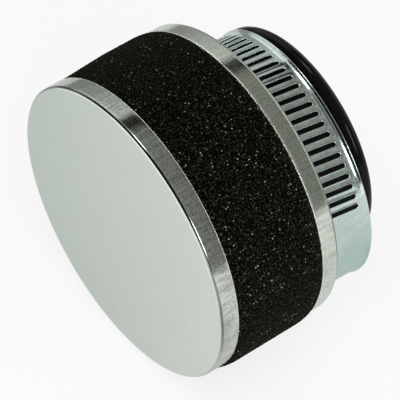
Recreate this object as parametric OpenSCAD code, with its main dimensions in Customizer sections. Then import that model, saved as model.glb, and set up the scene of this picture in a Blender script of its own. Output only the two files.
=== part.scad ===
// Round clamp-on air filter. A foam sleeve is held between two pressed steel
// end caps around a perforated steel core. A rubber neck grips the rear cap,
// and a loose worm-drive hose clamp hangs on the neck, ready for fitting.
// The axis lies along Y. The closed cap faces -Y, and the origin is the centre
// of the neck's mouth, where the intake stub goes in.

/* [Caps] */
// Outside diameter of both end caps
body_d = 87; // [84:0.5:140]
// Width of the foam that shows between the two rims
foam_gap = 27.9; // [12:0.1:90]
// Height of each cap's rim, measured over the outside
rim_h = 5.6; // [4.5:0.1:14]
// Thickness of the caps' steel sheet
cap_t = 0.8; // [0.5:0.05:1.4]
// Outside bend radius between the front cap's face and its rim
front_bend_r = 0.9; // [0.5:0.1:3.5]
// Outside bend radius between the rear cap's face and its rim
rear_bend_r = 1.3; // [0.5:0.1:3.5]

/* [Foam] */
// Thickness of the foam sleeve's wall
foam_t = 9.8; // [5:0.1:11]
// How far the foam lies below the rims' outer face
foam_inset = 0.3; // [0:0.05:0.6]

/* [Core] */
// Thickness of the perforated sheet
core_t = 0.5; // [0.4:0.05:0.8]
// Diameter of one hole in the core
hole_d = 4.6; // [2:0.1:5]
// Distance between two rows of holes, along the axis
hole_row_pitch = 5.6; // [5.2:0.1:9]
// Wanted distance between neighbouring holes of one row
hole_step = 8.2; // [6:0.1:14]
// Width of the inward flange that joins the core to the front cap
core_flange_w = 4; // [2:0.5:6]
// Width of the overlapped seam where the sheet's two ends meet
seam_w = 6; // [4:0.5:10]
// Side on which the seam lies, as an angle about the axis
seam_dir = 90; // [-180:1:180]

/* [Neck] */
// Diameter of the neck's bore, which takes the intake stub
bore_d = 54; // [30:0.5:57]
// Wall thickness of the neck's tube
neck_wall = 4; // [3:0.1:5]
// Length of the neck from the rear cap's face to the mouth
neck_len = 20.8; // [18:0.1:45]
// How far the rounded lip stands out from the tube
lip_out = 2; // [1:0.1:3]
// Radius of the lip's rounding
lip_round_r = 2; // [1.5:0.1:3]
// Depth of the groove that grips the rear cap, below the tube's outside
groove_depth = 1.9; // [1:0.1:2.4]
// Thickness of the neck's flange inside the rear cap
flange_t = 2.6; // [1.8:0.1:4]
// Radius of the rounding along the flange's rim
flange_round_r = 0.8; // [0.3:0.1:0.9]

/* [Clamp band] */
// Width of the clamp's band
band_w = 14.2; // [12:0.1:15]
// Thickness of the clamp's band
band_t = 0.65; // [0.5:0.05:0.9]
// How much larger the open band's inner radius is than the lip's outer radius
band_slack = 2.85; // [1:0.05:8]
// How far the band's edges are turned outward
edge_rise = 0.6; // [0.1:0.05:0.7]
// Width of each edge that is turned outward
edge_w = 1.6; // [0.8:0.1:1.8]
// Distance from one slot to the next along the band
slot_pitch = 3.055; // [2.8:0.005:3.6]
// Length of one slot from end to end
slot_len = 8.8; // [6:0.1:9]
// Width of one slot
slot_w = 1.3; // [1:0.1:1.8]
// Slant of a slot from the clamp's axis, which fits a right-hand worm's helix
slot_slant = 6.6; // [3:0.1:9]
// How far round the clamp the slots reach, counted from the housing
slot_arc = 189.7; // [110:0.1:250]
// Length of the band's free end beyond the housing
tail_len = 14; // [10:0.5:40]
// Radius of the two corners at the band's free end
tail_corner_r = 3.5; // [1:0.5:5]

/* [Clamp housing] */
// Length of the housing along the band
housing_len = 12.5; // [10:0.1:20]
// Thickness of the housing's sheet
housing_t = 0.7; // [0.5:0.05:1]
// Thickness of the saddle's sheet
saddle_t = 0.65; // [0.5:0.05:1]
// Width of the two lugs that are folded over the housing
lug_w = 7; // [4:0.5:9]
// Outer radius of the worm's thread
worm_r = 4.2; // [3.8:0.1:5]
// How deep the worm's thread reaches into the slots
worm_bite = 0.5; // [0.3:0.05:0.6]
// Height of the worm's thread above its core
thread_h = 0.8; // [0.8:0.05:1.2]
// Radius of the screw's journals in the housing's end walls
journal_r = 2; // [1.5:0.1:2.4]
// Thickness of the screw's collar, which holds it against the end wall
collar_h = 1.2; // [0.8:0.1:2]
// Width of the screw's hexagon across its flats
hex_af = 7; // [6:0.5:8]
// Height of the screw's hexagon
hex_h = 4.6; // [3.5:0.1:7]
// Width of the screw's driver slot
driver_slot_w = 1.2; // [0.8:0.1:1.6]
// Depth of the screw's driver slot
driver_slot_d = 2.2; // [1:0.1:3]

/* [Clamp pose] */
// Side to which the loose clamp hangs off centre, as an angle about the axis
clamp_hang_dir = 57; // [-180:1:180]
// Gap between the rear cap and the nearest point of the clamp's band
clamp_gap = 0.3; // [0.3:0.1:6]
// How far the loose clamp leans over on the neck
clamp_lean = 3.8; // [0:0.1:6]
// Side to which the clamp leans toward the body, as an angle about the axis
clamp_lean_dir = -33; // [-180:1:180]
// Side on which the clamp's housing sits, as an angle about the axis
housing_dir = 149.8; // [-180:0.1:180]

/* [Hidden] */

// Clearance between pieces that only touch, or are bonded, in the real filter
fit = 0.1;
// Clearance between the soft foam and the sheet metal round it
soft_fit = 0.2;
// Clearance between the loose band and the neck that it hangs on
hang_gap = 0.1;
// Clearance between the turning screw and what stands round it
run_gap = 0.3;
// Radial clearance of the screw's journals in the end walls
journal_fit = 0.06;
// How far a cutting shape runs past the surface that it cuts
over = 1;
// Smallest bend radius on the inner side of a sheet
sharp_r = 0.1;

// Distances along the filter's own axis, from the front face toward the mouth
body_len = foam_gap + 2 * rim_h;
total_len = body_len + neck_len;
body_r = body_d / 2;

// Radii from the outside inward
foam_r = body_r - foam_inset;
foam_in_r = foam_r - foam_t;
core_r = foam_in_r - soft_fit;
core_in_r = core_r - core_t;
seam_in_r = core_in_r - core_t;
flange_r = seam_in_r - fit;
bore_r = bore_d / 2;
neck_r = bore_r + neck_wall;
groove_r = neck_r - groove_depth;
plate_hole_r = groove_r + fit;
lip_r = neck_r + lip_out;
lip_z = total_len - lip_round_r;

// The core reaches from the front cap's inside to the rear cap's inside
core_z0 = cap_t + fit;
core_z1 = body_len - cap_t - fit;
core_h = core_z1 - core_z0;
hole_rows = floor((core_h - hole_d) / hole_row_pitch);
holes_round = floor(2 * PI * core_r / hole_step);
first_row_z = core_z0 + (core_h - (hole_rows - 1) * hole_row_pitch) / 2;

// The band's main ring, in the clamp's own frame, with the housing at angle 0
band_in_r = lip_r + band_slack;
band_half_w = band_w / 2;
slot_turn = turn_of(slot_pitch, band_in_r + band_t / 2);
// The slotted end leaves the ring on an arc of larger radius, at about this angle
// and midway between two slots. The two arcs overlap a little there, a hair apart
step_about = 60;
ring_slots = floor((slot_arc - step_about) / slot_turn);
step_turn = slot_arc - (ring_slots + 1 / 2) * slot_turn;
step_overlap = 0.5;
step_hair = 0.03;
step_shift = 2.2;
step_in_r = band_in_r + step_shift + step_hair;
step_slot_turn = turn_of(slot_pitch, step_in_r + band_t / 2);
// How far the ring reaches past the housing's middle, below the slotted end
anchor_turn = 8;
tail_turn = turn_of(housing_len / 2 + tail_len, step_in_r);
// Plain band between the last slot's middle and the free end
tail_plain = 5;
edge_steps = 4;

// Height of the slotted strip's outer face where it passes below the worm
strip_top = -step_shift * cos(step_turn)
    + sqrt(pow(step_in_r + band_t, 2) - pow(step_shift * sin(step_turn), 2));
worm_core_r = worm_r - thread_h;
screw_x = strip_top + worm_r - worm_bite;

// The housing stands on the saddle, astride the band, with an arch over the worm
saddle_r = band_in_r - fit;
saddle_in_r = saddle_r - saddle_t;
arch_in_r = worm_r + journal_fit + fit;
arch_r = arch_in_r + housing_t;
leg_in = band_half_w + fit;
leg_out = leg_in + housing_t;
// Room between the band's turned edges and the housing's shoulders
shoulder_gap = 0.55;
shoulder_x = strip_top + edge_rise + shoulder_gap;
shoulder_top = shoulder_x + housing_t;
lug_in = leg_out + fit;
lug_out = lug_in + saddle_t;
// Room between the tips of the folded lugs and the arch
lug_tip_gap = 0.5;
lug_reach = arch_r + lug_tip_gap;

// The collar stays inside the thread's radius, so it clears the band
collar_inset = 0.1;
collar_r = worm_r - collar_inset;
hex_corner_r = hex_af / 2 / cos(30);
wall_in_y = housing_len / 2 - housing_t;
collar_y = housing_len / 2 + run_gap;
head_y = collar_y + collar_h;

// Place of the clamp. The lean lifts the band's far side from the rear cap, and
// the band hangs off centre until one of its sides meets the lip's underside
lean_lift = (band_in_r + band_t + edge_rise) * sin(clamp_lean);
clamp_z = body_len + clamp_gap + band_half_w * cos(clamp_lean) + lean_lift;
hang = min([
    for (side = [-80 : 5 : 80])
        side_room(clamp_hang_dir + 180 + side) / cos(side)
]) - hang_gap;
lean_shift = band_half_w * sin(clamp_lean);
clamp_x = hang * cos(clamp_hang_dir) - lean_shift * cos(clamp_lean_dir);
clamp_y = hang * sin(clamp_hang_dir) - lean_shift * sin(clamp_lean_dir);

// Angle of an arc of this length on this radius
function turn_of(arc, radius) = arc / radius * 180 / PI;

// Outside radius of the neck at a distance along the axis
function neck_radius_at(z) =
    z >= lip_z ? lip_r :
    z <= lip_z - lip_round_r ? neck_r :
    max(neck_r, lip_r - lip_round_r + sqrt(pow(lip_round_r, 2) - pow(lip_z - z, 2)));

// Rise of the band's turned edge at a share of its width, in a growing curve
function edge_lift(share) = edge_rise * pow(share, 2);

// Room between the centred band and the neck on one side, the least that is
// found over the width of the turned edge
function side_room(dir) =
    let (far_z = clamp_z + band_half_w * cos(clamp_lean)
        - band_in_r * sin(clamp_lean) * cos(dir - clamp_lean_dir))
    min([
        for (i = [0 : edge_steps])
            band_in_r + edge_lift(i / edge_steps)
                - neck_radius_at(far_z - edge_w * (1 - i / edge_steps))
    ]);

// Turns the filter's own axis from Z to Y and puts the mouth at the origin
module lay_down() {
    rotate([-90, 0, 0])
        translate([0, 0, -total_len])
            children();
}

// Puts a piece of the clamp, drawn about Z with its housing at angle 0
module on_neck() {
    lay_down()
        translate([clamp_x, clamp_y, clamp_z])
            rotate([0, 0, clamp_lean_dir])
                rotate([0, clamp_lean, 0])
                    rotate([0, 0, housing_dir - clamp_lean_dir])
                        children();
}

// Half section of a dished cap: a flat face at height 0, a bend and a rim
module pan_solid(radius, bend, height) {
    square([radius - bend, height]);
    translate([0, bend])
        square([radius, height - bend]);
    translate([radius - bend, bend])
        circle(r = bend, $fn = 48);
}

module pan_section(bend, hole_r) {
    difference() {
        pan_solid(body_r, bend, rim_h);
        translate([0, cap_t])
            pan_solid(body_r - cap_t, max(bend - cap_t, sharp_r), rim_h);
        translate([-over, -over])
            square([hole_r + over, rim_h + 2 * over]);
    }
}

// Closed front cap, pressed from one sheet
module front_cap() {
    color([0.75, 0.79, 0.77])
        lay_down()
            rotate_extrude($fn = 180)
                pan_section(front_bend_r, 0);
}

// Rear cap with the round hole that the neck grips
module rear_cap() {
    color([0.73, 0.77, 0.74])
        lay_down()
            translate([0, 0, body_len])
                mirror([0, 0, 1])
                    rotate_extrude($fn = 180)
                        pan_section(rear_bend_r, plate_hole_r);
}

// Foam sleeve, with its two ends tucked inside the rims
module foam_sleeve() {
    tucked_r = body_r - cap_t - soft_fit;
    end_gap = cap_t + soft_fit;
    color([0.07, 0.07, 0.06])
        lay_down()
            rotate_extrude($fn = 180)
                polygon([
                    [foam_in_r, end_gap],
                    [tucked_r - front_bend_r, end_gap],
                    [tucked_r, end_gap + front_bend_r],
                    [tucked_r, rim_h + soft_fit],
                    [foam_r, rim_h + soft_fit],
                    [foam_r, body_len - rim_h - soft_fit],
                    [tucked_r, body_len - rim_h - soft_fit],
                    [tucked_r, body_len - end_gap - rear_bend_r],
                    [tucked_r - rear_bend_r, body_len - end_gap],
                    [foam_in_r, body_len - end_gap]
                ]);
}

// Half section of the core: the sheet's wall and the flange at its front end
module core_section() {
    translate([core_in_r, 0])
        square([core_t, core_h]);
    translate([core_in_r - core_flange_w, 0])
        square([core_flange_w + core_t / 2, core_t]);
}

// Inner layer of the seam, sunk half a sheet into the wall that it is joined to
module core_seam(seam_turn) {
    rotate([0, 0, -seam_turn / 2])
        translate([0, 0, core_z0 + core_t / 2])
            rotate_extrude(angle = seam_turn, $fn = 144)
                translate([seam_in_r, 0])
                    square([1.5 * core_t, core_h - core_t]);
}

// One hole of the core, cut outward through the sheet
module core_hole() {
    translate([core_in_r - over, 0, 0])
        rotate([0, 90, 0])
            cylinder(d = hole_d, h = core_t + 2 * over, $fn = 24);
}

// Rolled perforated sheet with a plain margin at its seam. Every second row of
// holes is set over by half a step
module perforated_core() {
    plain_turn = turn_of(seam_w + hole_d, core_r);
    hole_turn = (360 - plain_turn) / holes_round;
    color([0.66, 0.69, 0.68])
        lay_down()
            rotate([0, 0, seam_dir]) {
                difference() {
                    translate([0, 0, core_z0])
                        rotate_extrude($fn = 144)
                            core_section();
                    for (row = [0 : hole_rows - 1]) {
                        row_start = (row % 2 == 0 ? 1 : 3) * hole_turn / 4;
                        for (i = [0 : holes_round - 1])
                            rotate([0, 0, plain_turn / 2 + row_start + i * hole_turn])
                                translate([0, 0, first_row_z + row * hole_row_pitch])
                                    core_hole();
                    }
                }
                core_seam(turn_of(seam_w, core_r));
            }
}

// Half section of the neck's inner flange, with its rim rounded
module flange_section(flange_z) {
    round_x = flange_r - flange_round_r;
    translate([bore_r, flange_z])
        square([round_x - bore_r, flange_t]);
    translate([bore_r, flange_z + flange_round_r])
        square([flange_r - bore_r, flange_t - 2 * flange_round_r]);
    for (corner_z = [flange_z + flange_round_r, flange_z + flange_t - flange_round_r])
        translate([round_x, corner_z])
            circle(r = flange_round_r, $fn = 32);
}

// Rubber neck in one moulding: inner flange, groove, tube and rounded lip
module rubber_neck() {
    flange_z = body_len - cap_t - fit - flange_t;
    tube_z = body_len + fit;
    color([0.05, 0.05, 0.055])
        lay_down()
            rotate_extrude($fn = 144)
                difference() {
                    union() {
                        flange_section(flange_z);
                        translate([bore_r, flange_z])
                            square([groove_r - bore_r, lip_z - flange_z]);
                        translate([bore_r, tube_z])
                            square([neck_wall, lip_z - tube_z]);
                        translate([bore_r, lip_z - lip_round_r])
                            square([lip_r - lip_round_r - bore_r, 2 * lip_round_r]);
                        translate([lip_r - lip_round_r, lip_z])
                            circle(r = lip_round_r, $fn = 64);
                    }
                    translate([0, flange_z - over])
                        square([bore_r, total_len]);
                }
}

// Section of the band: flat, with both edges turned outward in a small curve
module band_section(inner_r) {
    shares = [for (i = [0 : edge_steps]) i / edge_steps];
    edge = [for (s = shares) [edge_lift(s), band_half_w - edge_w * (1 - s)]];
    last = edge_steps;
    translate([inner_r, 0])
        polygon(concat(
            [for (i = [0 : last]) edge[i]],
            [for (i = [last : -1 : 0]) edge[i] + [band_t, 0]],
            [for (i = [0 : last]) [edge[i][0] + band_t, -edge[i][1]]],
            [for (i = [last : -1 : 0]) [edge[i][0], -edge[i][1]]]
        ));
}

// One slot with round ends, cut outward through a strip of this inner radius
module slot_cut(inner_r) {
    straight = slot_len - slot_w;
    translate([inner_r - over, 0, 0])
        rotate([-slot_slant, 0, 0])
            rotate([0, 90, 0])
                linear_extrude(height = band_t + 2 * over) {
                    square([straight, slot_w], center = true);
                    for (end = [-1, 1])
                        translate([end * straight / 2, 0])
                            circle(d = slot_w, $fn = 16);
                }
}

// What is cut from the free end, which lies at angle 0, to round its corners
module tail_corners() {
    middle = band_half_w - tail_corner_r;
    translate([step_in_r - over, 0, 0])
        rotate([0, 90, 0])
            linear_extrude(height = band_t + edge_rise + 2 * over)
                for (side = [0, 1])
                    mirror([side, 0])
                        difference() {
                            translate([middle, -over])
                                square([tail_corner_r + over, tail_corner_r + over]);
                            translate([middle, tail_corner_r])
                                circle(r = tail_corner_r, $fn = 48);
                        }
}

// One steel strip: a solid part, a slotted part and the free end
module clamp_band() {
    tail_slots = floor((step_turn + tail_turn - turn_of(tail_plain, step_in_r)) / step_slot_turn);
    first_step_slot = step_turn - step_slot_turn / 2;
    color([0.72, 0.77, 0.76])
        on_neck() {
            difference() {
                rotate([0, 0, step_turn])
                    rotate_extrude(angle = 360 - step_turn + anchor_turn, $fn = 180)
                        band_section(band_in_r);
                for (i = [0 : ring_slots])
                    rotate([0, 0, slot_arc - i * slot_turn])
                        slot_cut(band_in_r);
            }
            translate([-step_shift * cos(step_turn), -step_shift * sin(step_turn), 0])
                difference() {
                    rotate([0, 0, -tail_turn])
                        rotate_extrude(angle = step_turn + step_overlap + tail_turn, $fn = 180)
                            band_section(step_in_r);
                    for (i = [0 : tail_slots - 1])
                        rotate([0, 0, first_step_slot - i * step_slot_turn])
                            slot_cut(step_in_r);
                    rotate([0, 0, -tail_turn])
                        tail_corners();
                }
        }
}

// Saddle plate below the band, with two lugs folded over the housing
module clamp_saddle() {
    saddle_turn = turn_of(housing_len / 2, saddle_r);
    lug_top = shoulder_top + fit + saddle_t;
    color([0.68, 0.73, 0.72])
        on_neck() {
            rotate([0, 0, -saddle_turn])
                rotate_extrude(angle = 2 * saddle_turn, $fn = 180)
                    translate([saddle_in_r, -lug_out])
                        square([saddle_t, 2 * lug_out]);
            for (side = [0, 1])
                mirror([0, 0, side]) {
                    translate([saddle_in_r, -lug_w / 2, lug_in])
                        cube([lug_top - saddle_in_r, lug_w, saddle_t]);
                    translate([shoulder_top + fit, -lug_w / 2, lug_reach])
                        cube([saddle_t, lug_w, lug_out - lug_reach]);
                }
        }
}

// Outline of the housing across the band: two legs, shoulders and an arch
module housing_outline() {
    leg_foot = saddle_r + fit;
    difference() {
        union() {
            translate([leg_foot, -leg_out])
                square([shoulder_top - leg_foot, 2 * leg_out]);
            translate([screw_x, 0])
                circle(r = arch_r, $fn = 64);
        }
        translate([saddle_r - over, -leg_in])
            square([shoulder_x - saddle_r + over, 2 * leg_in]);
        translate([screw_x, 0])
            circle(r = arch_in_r, $fn = 64);
    }
}

// End wall of the arch, with the round hole for the screw's journal
module end_wall_outline() {
    difference() {
        translate([screw_x, 0])
            circle(r = arch_r, $fn = 64);
        translate([screw_x - arch_r - over, -arch_r])
            square([shoulder_x - screw_x + arch_r + over, 2 * arch_r]);
        translate([screw_x, 0])
            circle(r = journal_r + journal_fit, $fn = 48);
    }
}

// Housing over the worm, open below where the thread meets the slots
module clamp_housing() {
    color([0.70, 0.75, 0.74])
        on_neck() {
            rotate([90, 0, 0])
                linear_extrude(height = housing_len, center = true)
                    housing_outline();
            for (end = [-1, 1])
                translate([0, end * (housing_len - housing_t) / 2, 0])
                    rotate([90, 0, 0])
                        linear_extrude(height = housing_t, center = true)
                            end_wall_outline();
        }
}

// Hexagon of the screw, with its corners turned off at the top
module hex_head() {
    chamfer_h = hex_corner_r - hex_af / 2;
    intersection() {
        cylinder(r = hex_corner_r, h = hex_h, $fn = 6);
        union() {
            cylinder(r = hex_corner_r + over, h = hex_h - chamfer_h, $fn = 64);
            translate([0, 0, hex_h - chamfer_h])
                cylinder(r1 = hex_corner_r, r2 = hex_af / 2, h = chamfer_h, $fn = 64);
        }
    }
}

// Worm screw: plain worm, two journals, collar and a slotted hexagon
module clamp_screw() {
    worm_half = wall_in_y - run_gap;
    tip_y = -housing_len / 2 - run_gap;
    color([0.62, 0.66, 0.66])
        on_neck()
            translate([screw_x, 0, 0])
                rotate([-90, 0, 0])
                    difference() {
                        union() {
                            translate([0, 0, -worm_half])
                                cylinder(r = worm_core_r, h = 2 * worm_half, $fn = 64);
                            translate([0, 0, tip_y])
                                cylinder(r = journal_r, h = collar_y - tip_y, $fn = 48);
                            translate([0, 0, collar_y])
                                cylinder(r = collar_r, h = collar_h, $fn = 64);
                            translate([0, 0, head_y])
                                hex_head();
                        }
                        translate([-hex_af, -driver_slot_w / 2, head_y + hex_h - driver_slot_d])
                            cube([2 * hex_af, driver_slot_w, driver_slot_d + over]);
                    }
}

front_cap();
foam_sleeve();
perforated_core();
rear_cap();
rubber_neck();
clamp_band();
clamp_saddle();
clamp_housing();
clamp_screw();
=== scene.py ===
# %% [markdown]
# A clamp-on foam air filter, as a lesson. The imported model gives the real
# pieces at their real size. This script gives them fine surfaces and finishes,
# and lights them like a plain product photograph.

# %% Load the frame
import math

import bmesh
import bpy
import numpy as np
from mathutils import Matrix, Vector


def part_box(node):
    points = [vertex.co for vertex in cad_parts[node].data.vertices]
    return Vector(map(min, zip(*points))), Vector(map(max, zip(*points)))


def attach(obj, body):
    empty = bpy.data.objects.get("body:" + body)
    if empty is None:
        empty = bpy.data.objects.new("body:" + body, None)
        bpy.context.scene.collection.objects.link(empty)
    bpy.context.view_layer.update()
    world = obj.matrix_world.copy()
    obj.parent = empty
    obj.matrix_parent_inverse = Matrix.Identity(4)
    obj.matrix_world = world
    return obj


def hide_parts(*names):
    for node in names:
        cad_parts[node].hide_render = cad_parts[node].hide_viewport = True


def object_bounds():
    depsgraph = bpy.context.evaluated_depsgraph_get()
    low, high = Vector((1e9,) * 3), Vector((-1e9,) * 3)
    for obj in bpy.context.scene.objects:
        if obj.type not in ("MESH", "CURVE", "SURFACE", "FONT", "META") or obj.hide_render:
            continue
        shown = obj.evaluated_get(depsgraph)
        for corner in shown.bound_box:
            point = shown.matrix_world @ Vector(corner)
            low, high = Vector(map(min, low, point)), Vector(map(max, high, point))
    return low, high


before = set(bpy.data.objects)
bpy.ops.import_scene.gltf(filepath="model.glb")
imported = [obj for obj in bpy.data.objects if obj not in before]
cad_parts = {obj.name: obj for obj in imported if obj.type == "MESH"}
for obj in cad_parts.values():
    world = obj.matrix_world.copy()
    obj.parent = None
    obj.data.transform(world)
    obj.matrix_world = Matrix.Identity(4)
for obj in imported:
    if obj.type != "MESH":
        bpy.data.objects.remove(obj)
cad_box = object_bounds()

print("pieces in the frame:", sorted(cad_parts))

# %% [markdown]
# All sizes are metres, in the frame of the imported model. The filter's axis is
# Y, its closed cap faces -Y and the mouth of its neck lies at Y = 0. The outer
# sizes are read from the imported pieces, and only what a box can't tell, such
# as a sheet's thickness or a bend's radius, is written here.

# %% Sizes of the body
MM = 0.001
cap_low, cap_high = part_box("front_cap")
rear_low, rear_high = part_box("rear_cap")
neck_low, neck_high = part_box("rubber_neck")
foam_low, foam_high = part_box("foam_sleeve")
body_r = cap_high.x
cap_t = 0.8 * MM
front_bend_r = 0.9 * MM
rear_bend_r = 1.3 * MM
cut_edge_r = 0.15 * MM
plate_hole_r = 29.2 * MM
foam_inset = 0.3 * MM
foam_in_r = 33.4 * MM
bore_r = 27 * MM
neck_r = 31 * MM
groove_r = 29.1 * MM
print("body radius", body_r, "length", rear_high.y - cap_low.y)


# %% [markdown]
# Most pieces are surfaces worked out with numpy. They could be modelled from
# primitives and modifiers, but a formula keeps each bend at its real radius and
# each seam in its place. A grid of points becomes a mesh here. Points that fall
# together, at a seam or a pole, are merged, and the faces are then turned
# outward, so every piece is one closed shell.

# %% From points to a piece
def add_piece(name, points, quads, material, body, sharp_deg=50):
    """Piece made of points (n, 3) and quads (m, 4), merged, turned outward and shaded smooth."""
    mesh = bpy.data.meshes.new(name)
    mesh.from_pydata(points.tolist(), [], quads.tolist())
    work = bmesh.new()
    work.from_mesh(mesh)
    bmesh.ops.remove_doubles(work, verts=work.verts, dist=0.0002 * MM)
    bmesh.ops.recalc_face_normals(work, faces=work.faces)
    work.to_mesh(mesh)
    work.free()
    mesh.polygons.foreach_set("use_smooth", np.ones(len(mesh.polygons), bool))
    mesh.set_sharp_from_angle(angle=math.radians(sharp_deg))
    mesh.materials.append(material)
    piece = bpy.data.objects.new(name, mesh)
    bpy.context.scene.collection.objects.link(piece)
    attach(piece, body)
    print(name, "has", len(mesh.polygons), "faces")
    return piece


def grid_quads(rows, cols, wrap_rows=False, wrap_cols=False, start=0):
    """Quads of a grid: point (i, j), next row, both next, next column. A wrapped side closes."""
    i = np.arange(rows if wrap_rows else rows - 1)[:, None]
    j = np.arange(cols if wrap_cols else cols - 1)[None, :]
    next_i = (i + 1) % rows
    next_j = (j + 1) % cols
    corners = [i * cols + j, next_i * cols + j, next_i * cols + next_j, i * cols + next_j]
    return np.stack(corners, -1).reshape(-1, 4) + start


# %% [markdown]
# Caps, foam and neck are round, so each is a profile carried round the axis,
# as a lathe would cut it. A Screw modifier would do this too, but points in an
# array can still be changed, as the foam's are. A profile is a list of points
# (radius, y), and its bends are short arcs.

# %% Arcs and turned pieces
def arc(centre, radius, start, end, steps=12):
    """Points of a circle's arc: centre plus radius times (cos, sin) of an angle in degrees."""
    angle = np.radians(np.linspace(start, end, steps + 1))
    return np.stack([centre[0] + radius * np.cos(angle), centre[1] + radius * np.sin(angle)], 1)


def lathe_points(profile, steps):
    """Profile point (r, y) at angle a lands on (r cos a, y, r sin a)."""
    angle = np.linspace(0, 2 * np.pi, steps, endpoint=False)[:, None]
    r, y = profile[:, 0], profile[:, 1]
    return np.stack([r * np.cos(angle), y + 0 * angle, r * np.sin(angle)], -1)


def lathe(name, profile, material, steps=480):
    """Turned piece. A profile that starts and ends on the axis closes there, any other on itself."""
    profile = np.asarray(profile)
    on_axis = abs(profile[0, 0]) < 1e-9
    points = lathe_points(profile, steps)
    quads = grid_quads(steps, len(profile), wrap_rows=True, wrap_cols=not on_axis)
    return add_piece(name, points.reshape(-1, 3), quads, material, "filter")


# %% [markdown]
# A finish here is one Principled shader with a few procedural textures. They
# could be wired by hand in the editor. Small helpers do it in code, so that a
# finish reads as a few lines. All textures take Object coordinates in metres,
# because every piece lies in place in its own mesh.

# %% Helpers for node materials
class Nodes:
    """Short ways to add and link the nodes of one material."""

    def __init__(self, material):
        material.use_nodes = True
        self.tree = material.node_tree
        self.tree.nodes.clear()

    def add(self, kind, **values):
        """New node. Each value sets the property of that name, or else the input of that name."""
        node = self.tree.nodes.new(kind)
        for key, value in values.items():
            if hasattr(node, key):
                setattr(node, key, value)
            else:
                self.put(node.inputs[key.replace("_", " ").capitalize()], value)
        return node

    def put(self, socket, value):
        """Links a socket to another one, or sets it to a plain value."""
        if isinstance(value, bpy.types.NodeSocket):
            self.tree.links.new(value, socket)
        else:
            socket.default_value = value

    def math(self, operation, a, b=0.0):
        """Result of one calculation on one or two numbers."""
        node = self.tree.nodes.new("ShaderNodeMath")
        node.operation = operation
        for socket, value in zip(node.inputs, (a, b)):
            self.put(socket, value)
        return node.outputs[0]

    def place(self, scale=(1, 1, 1)):
        """Object coordinates, each times a scale, by a Mapping node."""
        coords = self.tree.nodes.new("ShaderNodeTexCoord")
        mapping = self.tree.nodes.new("ShaderNodeMapping")
        mapping.inputs["Scale"].default_value = scale
        self.tree.links.new(coords.outputs["Object"], mapping.inputs["Vector"])
        return mapping.outputs[0]

    def noise(self, scale, detail=2, stretch=(1, 1, 1)):
        """Smooth random value from 0 to 1, with so many waves in a metre."""
        node = self.add("ShaderNodeTexNoise", Scale=scale, Detail=detail)
        self.put(node.inputs["Vector"], self.place(stretch))
        return node.outputs[0]

    def spread(self, value, low, high, new_low=0.0, new_high=1.0, smooth=True):
        """Maps a value from one span to another and clamps it there."""
        node = self.tree.nodes.new("ShaderNodeMapRange")
        node.interpolation_type = "SMOOTHSTEP" if smooth else "LINEAR"
        for socket, number in zip(node.inputs, (value, low, high, new_low, new_high)):
            self.put(socket, number)
        return node.outputs[0]

    def mix(self, share, first, second):
        """Colour between two others."""
        node = self.tree.nodes.new("ShaderNodeMix")
        node.data_type = "RGBA"
        self.put(node.inputs[0], share)
        self.put(node.inputs[6], first)
        self.put(node.inputs[7], second)
        return node.outputs[2]

    def glow(self, light, level):
        """A colour times a level, which may pass 1."""
        node = self.tree.nodes.new("ShaderNodeVectorMath")
        node.operation = "SCALE"
        self.put(node.inputs[0], light)
        self.put(node.inputs["Scale"], level)
        return node.outputs[0]

    def bump(self, height, distance, strength, normal=None):
        """Normal tilted by a height from 0 to 1 over a distance in metres."""
        node = self.tree.nodes.new("ShaderNodeBump")
        node.inputs["Strength"].default_value = strength
        node.inputs["Distance"].default_value = distance
        self.tree.links.new(height, node.inputs["Height"])
        if normal is not None:
            self.tree.links.new(normal, node.inputs["Normal"])
        return node.outputs[0]

    def show(self, shader, kind="ShaderNodeOutputMaterial"):
        """Links a shader to the output, so that it shows."""
        output = self.tree.nodes.new(kind)
        self.put(output.inputs["Surface"], shader.outputs[0])

    def surface(self, **values):
        """Shows a Principled shader with these inputs."""
        shader = self.tree.nodes.new("ShaderNodeBsdfPrincipled")
        for key, value in values.items():
            self.put(shader.inputs[key.replace("_", " ")], value)
        self.show(shader)


def material(name):
    """New material and the helper for its nodes."""
    made = bpy.data.materials.new(name)
    return made, Nodes(made)


def colour(red, green, blue):
    """Colour of a linear red, green and blue, with full alpha."""
    return (red, green, blue, 1.0)


# %% [markdown]
# All steel here is sheet or bar with a thin zinc plate: pale, with a hint of
# green, warm clouds and the fine grain of rolling. A scanned texture would show
# all this, but noise does it at any scale and needs no file. One noise gives
# the grain to faces and rims alike, because it is stretched along Y and Z and
# fine along X.

# %% Grain and clouds of plated steel
def axis_value(nodes, axis):
    """One Object coordinate, X, Y or Z, in metres."""
    parts = nodes.add("ShaderNodeSeparateXYZ", Vector=nodes.place())
    return parts.outputs[axis]


def near_value(nodes, value, centre, inner, outer):
    """1 where the value is within inner of a centre, falling to 0 at outer."""
    distance = nodes.math("ABSOLUTE", nodes.math("SUBTRACT", value, centre))
    return nodes.spread(distance, inner, outer, 1, 0)


def grained_colour(nodes, pale, warm, dark, amount):
    """Colour of pale metal with warm clouds and dark grain, by an amount from 0 to 1, and the grain."""
    grain = nodes.noise(2600, 3, (1, 0.05, 0.03))
    mottle = nodes.noise(1700)
    cloud = nodes.spread(nodes.noise(130, 3), 0.42, 0.62, 0, 0.6)
    tint = nodes.mix(nodes.math("MULTIPLY", cloud, amount), pale, warm)
    lines = nodes.spread(grain, 0.35, 0.7, 0, 0.58)
    spots = nodes.spread(mottle, 0.35, 0.65, 0, 0.5)
    streak = nodes.math("MULTIPLY", nodes.math("ADD", lines, spots), amount)
    return nodes.mix(streak, tint, dark), grain


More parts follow.
